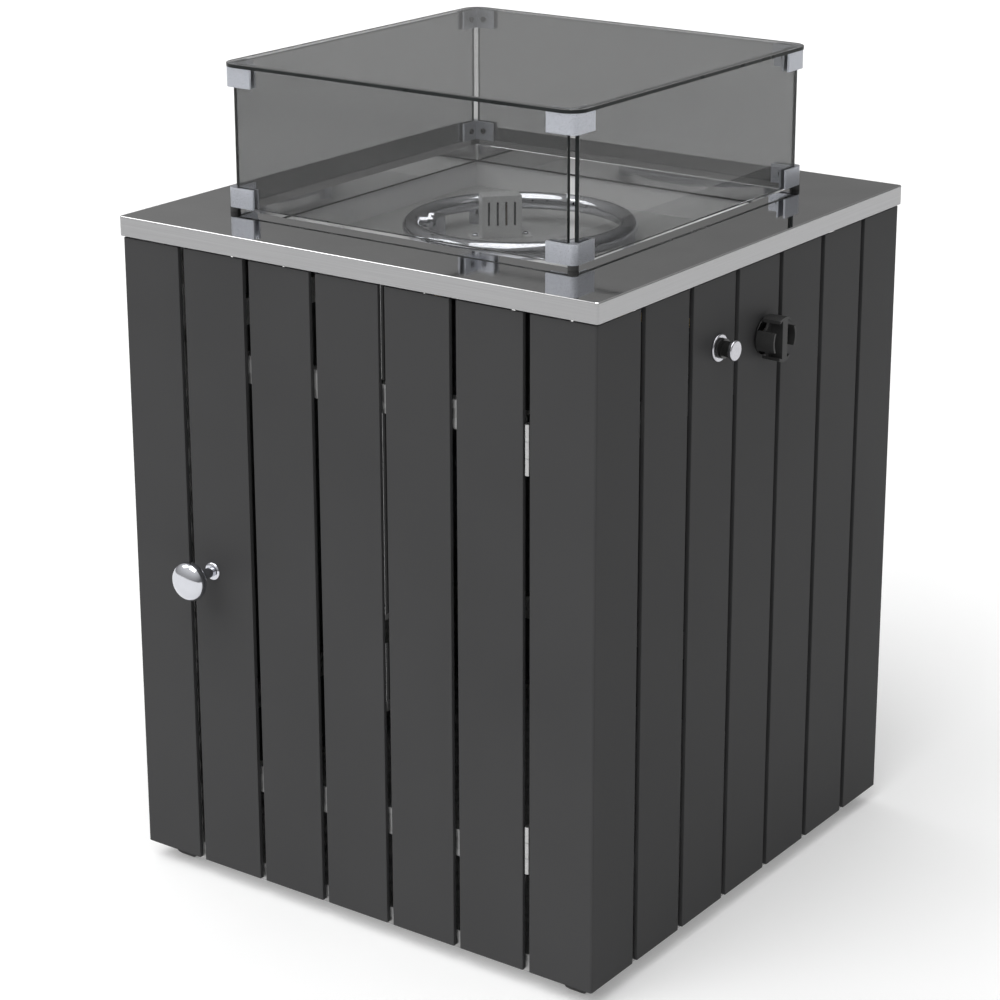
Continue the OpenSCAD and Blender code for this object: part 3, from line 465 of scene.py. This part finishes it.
# %% Helpers for turning
def turn_piece(name, centre, steps, spokes=48):
    """Starts with a circle facing -Y and pulls it out through (distance, radius) steps."""
    x, y, z = centre
    put_down()
    start, first = steps[0]
    bpy.ops.mesh.primitive_circle_add(
        vertices=spokes, radius=first, fill_type="NGON", rotation=(math.pi / 2, 0, 0),
        location=(x, y - start, z))
    piece = name_piece(name)
    bpy.ops.object.mode_set(mode="EDIT")
    bpy.ops.mesh.select_mode(type="FACE")
    bpy.ops.mesh.select_all(action="SELECT")
    for (at, radius), (last, before) in zip(steps[1:], steps):
        bpy.ops.mesh.extrude_region_move(TRANSFORM_OT_translate={"value": (0, last - at, 0)})
        size = radius / before
        bpy.ops.transform.resize(value=(size, 1, size), center_override=(x, y - at, z))
    bpy.ops.mesh.select_all(action="SELECT")
    bpy.ops.mesh.normals_make_consistent(inside=False)
    smooth(piece, angle=50)
    return piece


def dome(start, end, radius, squareness, count, tip=0.0008):
    """Steps over a rounded head between two distances, never narrower than its tip."""
    steps = []
    for i in range(count + 1):
        t = -math.cos(math.pi * i / count)
        width = max(radius * (1 - abs(t) ** squareness) ** (1 / squareness), tip)
        steps.append(((start + end) / 2 + t * (end - start) / 2, width))
    return steps


# %% [markdown]
# The knob's width, height and reach come from its node. Its neck goes into the board a little, as
# the screw that holds it does, and the head's steps start where they are wider than the neck.

# %% Turn the knob
board_face = -0.2975
knob_low, knob_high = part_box("door_knob")
knob_at = ((knob_low[0] + knob_high[0]) / 2, board_face, (knob_low[2] + knob_high[2]) / 2)
knob_r, knob_reach = (knob_high[0] - knob_low[0]) / 2, board_face - knob_low[1]
head_l, neck_r, join_r, face_r = 0.024, 0.0055, 0.0058, 0.003
head_start = knob_reach - head_l
neck = [(-0.0045, 0.0027), (0.003, 0.0053), (0.004, neck_r), (head_start - 0.002, neck_r)]
head = dome(head_start, knob_reach, knob_r, squareness=2.15, count=20)
head = [step for step in head if step[1] > join_r]
ball = turn_piece("turned_knob", knob_at, neck + head + [(knob_reach - 0.0001, face_r)])
fit_out(ball, "door", "chrome", [chrome], "door_knob")

rose_low, rose_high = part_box("knob_rosette")
rose_r, rose_t, rose_bore = (rose_high[0] - rose_low[0]) / 2, 0.003, 0.0062
rose = turn_piece("knob_rose", knob_at, [
    (0.0, rose_r), (0.0008, rose_r), (0.0018, rose_r - 0.0006), (0.0026, rose_r - 0.0018),
    (rose_t, rose_r - 0.003), (rose_t, rose_bore)])
fit_out(rose, "door", "chrome", [chrome], "knob_rosette")

# %% [markdown]
# ## Softened copies
# The other metal and moulded pieces already have the right shape in the CAD model, but its edges
# are perfectly sharp, and no real edge is. A copy of each node is merged into one skin, its edges
# are rounded by the radius that a fold, a mould or a file leaves, and it stands for the node. The
# igniter's two chromed pieces have round edges in the CAD model too, and are only smoothed.

# %% Soften the CAD pieces
board_fold, leaf_edge = 0.0007, 0.0003


def soften(node, body, slot, finish, width, steps=2, angle=40):
    """Stands a copy of a node with rounded edges in its place."""
    take_up(nodes[node])
    bpy.ops.object.duplicate(linked=False)
    piece = bpy.context.object
    piece.parent = None
    for key in [k for k in piece.keys() if k.startswith("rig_")]:
        del piece[key]
    piece.name = piece.data.name = node + "_soft"
    bpy.ops.mesh.customdata_custom_splitnormals_clear()
    bpy.ops.object.mode_set(mode="EDIT")
    bpy.ops.mesh.select_all(action="SELECT")
    bpy.ops.mesh.remove_doubles(threshold=0.00001)
    bpy.ops.mesh.dissolve_limited(angle_limit=math.radians(0.5))
    if width:
        round_edges(piece, width, steps, angle)
    smooth(piece, angle)
    fit_out(piece, body, slot, [finish], node)
    return piece


for node in ("corner_boards", "right_boards", "back_boards", "left_boards"):
    soften(node, "cabinet", "slate_paint", slate_paint, board_fold)
for number in range(1, 6):
    soften("door_board_%d" % number, "door", "slate_paint", slate_paint, board_fold)
for node in ("upper_clips", "lower_clips"):
    soften(node, "guard", "guard_steel", clip_steel, width=0.0009, steps=3)
soften("clip_screws", "guard", "screws", blackened_and_shade, width=0.0003)
soften("guard_feet", "guard", "black_rubber", black_rubber, width=0.0006)
soften("feet", "cabinet", "black_plastic", foot_plastic, width=0.0015, steps=3)
soften("control_knob", "knob", "black_plastic", knob_plastic, width=0.0006)
soften("valve_bezel", "cabinet", "black_plastic", black_plastic, width=0.0004)
soften("igniter_bezel", "cabinet", "chrome", satin_chrome, width=0.0)
soften("igniter_cap", "igniter_button", "chrome", satin_chrome, width=0.0)
soften("igniter_plunger", "igniter_button", "black_plastic", black_plastic, width=0.0003)
soften("ignition_hood", "cabinet", "pan_steel", hood_steel, width=0.0004)
for place in ("upper", "lower"):
    soften(place + "_hinge_frame_leaf", "cabinet", "hinge_steel", bright_zinc, leaf_edge)
    soften(place + "_hinge_door_leaf", "door", "hinge_steel", bright_zinc, leaf_edge)

# %% [markdown]
# ## Burner pan
# The pan is softened in the same way. The level faces down on its floor get a darker colour than
# the walls: painted shade against the stronger light that falls on the floor from above.

# %% Soften the pan and paint shade on its floor
floor_below = top_z - 0.045
pan = soften("burner_pan", "cabinet", "pan_steel", pan_steel, width=0.0005)
pan.data.materials.append(pan_floor_painted_shade)
level = second_finish(pan, lambda at, way: way.z > 0.9 and at.z < floor_below)
print("dulled pan faces:", level)

# %% [markdown]
# A dark line runs round the foot of the polished skirt, where shade falls in the narrow gap to the
# pan's walls. It is painted shade: a black strip made of a plane that is inset, emptied in the
# middle, pulled down and rounded. It sits a tenth of a millimetre below the skirt.

# %% Paint the shade at the skirt's foot
# A black strip, painted shade for the gap between the skirt and the pan's walls.
shade_strip_w, shade_strip_t, shade_strip_h = opening_w + 0.0046, 0.0021, 0.0022
shade_strip_top = top_z - skirt_h - 0.0001
put_down()
bpy.ops.mesh.primitive_plane_add(size=shade_strip_w, location=(0, 0, shade_strip_top))
skirt_shade_strip = name_piece("skirt_shade_strip")
pick(skirt_shade_strip, "FACE", lambda at, way: True)
bpy.ops.mesh.inset(thickness=shade_strip_t)
bpy.ops.mesh.delete(type="FACE")
pick(skirt_shade_strip, "FACE", lambda at, way: True)
bpy.ops.mesh.extrude_region_move(TRANSFORM_OT_translate={"value": (0, 0, -shade_strip_h)})
bpy.ops.mesh.select_all(action="SELECT")
bpy.ops.mesh.normals_make_consistent(inside=False)
round_edges(skirt_shade_strip, width=0.0007, steps=3)
smooth(skirt_shade_strip, angle=50)
fit_out(skirt_shade_strip, "cabinet", "black_rubber", [black_rubber])

# %% [markdown]
# ## Hood screws
# Two round-headed screws hold the hood's flanges on the pan. One is modelled: a cylinder whose
# upper edge is rounded, with a socket sunk into its top. The other is a copy with its own mesh,
# moved across the middle of the hood to the other flange.

# %% Screw the hood down
hood_low, hood_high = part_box("ignition_hood")
hood_mid = [(a + b) / 2 for a, b in zip(hood_low, hood_high)]
flange_z, flange_reach, hood_turn = hood_low[2] + 0.0012, 0.0278, math.radians(45)
screw_r, screw_h, screw_round, socket_wall, socket_h = 0.0034, 0.0024, 0.0011, 0.0007, 0.0012
screw_x = hood_mid[0] + flange_reach * math.cos(hood_turn)
screw_y = hood_mid[1] + flange_reach * math.sin(hood_turn)
put_down()
bpy.ops.mesh.primitive_cylinder_add(
    vertices=32, radius=screw_r, depth=screw_h,
    location=(screw_x, screw_y, flange_z + screw_h / 2))
hood_screw = name_piece("hood_screw_right")
pick(hood_screw, "EDGE", lambda at, way: abs(at.z - flange_z - screw_h) < 1e-6)
bpy.ops.mesh.bevel(offset=screw_round, segments=5, affect="EDGES")
pick(hood_screw, "FACE", lambda at, way: way.z > 0.99)
bpy.ops.mesh.inset(thickness=socket_wall)
bpy.ops.mesh.extrude_region_move(TRANSFORM_OT_translate={"value": (0, 0, -socket_h)})
smooth(hood_screw, angle=35)
take_up(hood_screw)
bpy.ops.object.duplicate(linked=False)
second_screw = bpy.context.object
second_screw.name = second_screw.data.name = "hood_screw_left"
bpy.ops.object.mode_set(mode="EDIT")
bpy.ops.mesh.select_all(action="SELECT")
across = (2 * (hood_mid[0] - screw_x), 2 * (hood_mid[1] - screw_y), 0)
bpy.ops.transform.translate(value=across)
for screw in (hood_screw, second_screw):
    fit_out(screw, "cabinet", "screws", [chrome])

# %% [markdown]
# The hood's slots are dark in the photograph, so its back must be closed. A plate painted near
# black
# does that: painted shade, standing for the dark inside of the hood. It is a cube set on edge
# between the hood's side walls, turned with the hood, with its edges broken.

# %% Close the hood's back
back_reach, back_w, back_t = 0.0105, 0.0407, 0.001
back_h, back_gap = hood_high[2] - hood_low[2] - 0.0016, 0.0002
back_x = hood_mid[0] - back_reach * math.sin(hood_turn)
back_y = hood_mid[1] + back_reach * math.cos(hood_turn)
put_down()
bpy.ops.mesh.primitive_cube_add(
    size=1, rotation=(0, 0, hood_turn), scale=(back_w, back_t, back_h),
    location=(back_x, back_y, hood_low[2] + back_gap + back_h / 2))
hood_back = name_piece("hood_back")
round_edges(hood_back, width=0.0002, steps=2)
smooth(hood_back)
# The plate is painted near black, as the shade inside the hood.
fit_out(hood_back, "cabinet", "pan_steel", [blackened_and_shade])

# %% [markdown]
# ## Nodes kept as they are
# The frame tubes, the burner ring and the gas fittings are right as the CAD model has them, and
# only get their finish on their own material slots.

# %% Finish the kept nodes
def paint(finish, *names):
    """Puts a finish on nodes that stay as they are."""
    for name in names:
        for place in nodes[name].material_slots:
            place.material = finish
    print(finish.name, "on", ", ".join(names))


paint(galvanised, "base_rails", "corner_posts", "door_jambs", "right_rails", "back_rails",
      "left_rails", "top_rails", "floor_tray", "control_bracket", "upper_door_rail",
      "lower_door_rail")
paint(burner_steel, "ring_burner", "burner_stands", "feed_elbow")
paint(bright_zinc, "upper_hinge_pin", "lower_hinge_pin", "catch_plate", "valve_stem")
paint(brass, "gas_valve", "valve_plug", "hose_tail", "burner_pipe")
paint(copper, "thermocouple")
paint(ceramic, "spark_electrode")
paint(black_plastic, "igniter_body", "door_catch")

# %% [markdown]
# ## Stage
# The photograph is a cut-out on white, with a soft shadow on the ground to the right. A pale floor
# fills the whole picture. It adds a little light of its own for camera, mirror and glass rays, so
# that it is white where nothing shades it and still keeps the shadow.

# %% Floor
floor_r, floor_lift = 30.0, 0.20
put_down()
bpy.ops.mesh.primitive_circle_add(vertices=96, radius=floor_r, fill_type="NGON", location=(0, 0, 0))
floor = name_piece("studio_floor")
paper, tree, shader = new_finish("floor_paper")
tree.links.new(between(tree, grain(tree, 3.0), 0.84, 0.86), shader.inputs["Base Color"])
shader.inputs["Roughness"].default_value = 0.9
shader.inputs["Specular IOR Level"].default_value = 0.0
path = tree.nodes.new("ShaderNodeLightPath")
seen = path.outputs["Is Camera Ray"]
for ray in ("Is Glossy Ray", "Is Transmission Ray"):
    either = tree.nodes.new("ShaderNodeMath")
    either.operation = "MAXIMUM"
    tree.links.new(seen, either.inputs[0])
    tree.links.new(path.outputs[ray], either.inputs[1])
    seen = either.outputs[0]
lift = tree.nodes.new("ShaderNodeMath")
lift.operation = "MULTIPLY"
lift.inputs[1].default_value = floor_lift
tree.links.new(seen, lift.inputs[0])
shader.inputs["Emission Color"].default_value = (1, 1, 1, 1)
tree.links.new(lift.outputs[0], shader.inputs["Emission Strength"])
floor.data.materials.append(paper)
print("floor radius", floor_r)

# %% [markdown]
# The room above the floor is a plain grey studio, dark behind the table, where the polished top
# mirrors it, and lighter overhead and in front. Each ray is compared with one direction, straight
# up with a lean to the front and the left, and a ramp turns the result into grey.

# %% World
world = bpy.data.worlds.new("studio_room")
bpy.context.scene.world = world
world.use_nodes = True
tree = world.node_tree
view = tree.nodes.new("ShaderNodeTexCoord")
lean = tree.nodes.new("ShaderNodeVectorMath")
lean.operation = "DOT_PRODUCT"
lean.inputs[1].default_value = (-0.2, -0.3, 1.0)
tree.links.new(view.outputs["Generated"], lean.inputs[0])
room = between(tree, lean.outputs["Value"], 0.17, 0.85, start=0.10, end=0.95)
tree.links.new(room, tree.nodes["Background"].inputs["Color"])
print("world:", world.name)

# %% [markdown]
# A broad, soft sun lights the front from above, and a weaker one comes from the left. Suns would
# show in polished steel as bright discs, so mirrors don't see them. Mirrors see soft boxes instead,
# lit panels of the kind that a photographer hangs round a shiny thing, and these add no light to
# matt surfaces.

# %% Lamps
def hang(light, facing):
    """Puts a light in the scene, turned so that it shines back along a direction."""
    lamp = bpy.data.objects.new(light.name, light)
    bpy.context.scene.collection.objects.link(lamp)
    x, y, z = facing
    tilt = math.acos(z / math.sqrt(x * x + y * y + z * z))
    lamp.rotation_euler = (tilt, 0, math.atan2(y, x) + math.pi / 2)
    return lamp


def sun(name, towards, strength, softness):
    """A far light that stands towards a direction and isn't seen in mirrors or through glass."""
    light = bpy.data.lights.new(name, "SUN")
    light.energy, light.angle = strength, math.radians(softness)
    lamp = hang(light, towards)
    lamp.visible_glossy = lamp.visible_transmission = False


def softbox(name, at, aim, width, height, power):
    """A lit panel that only mirrors and gloss see, as a highlight."""
    light = bpy.data.lights.new(name, "AREA")
    light.shape, light.size, light.size_y, light.energy = "RECTANGLE", width, height, power
    lamp = hang(light, [a - b for a, b in zip(at, aim)])
    lamp.location = at
    lamp.visible_camera = lamp.visible_diffuse = False


sun("key_light", (-0.02, -0.60, 0.79), strength=1.6, softness=50)
sun("side_light", (-0.55, -0.05, 0.83), strength=0.25, softness=40)
softbox("overhead_box", (0.0, -0.5, 2.4), (0, -0.5, 0.7), width=2.4, height=1.4, power=46)
softbox("left_box", (-1.6, -1.0, 2.2), (0, 0, 0.6), width=0.9, height=1.2, power=14)
softbox("right_box", (2.3, 0.7, 2.3), (0, 0, 0.5), width=0.7, height=0.9, power=2)
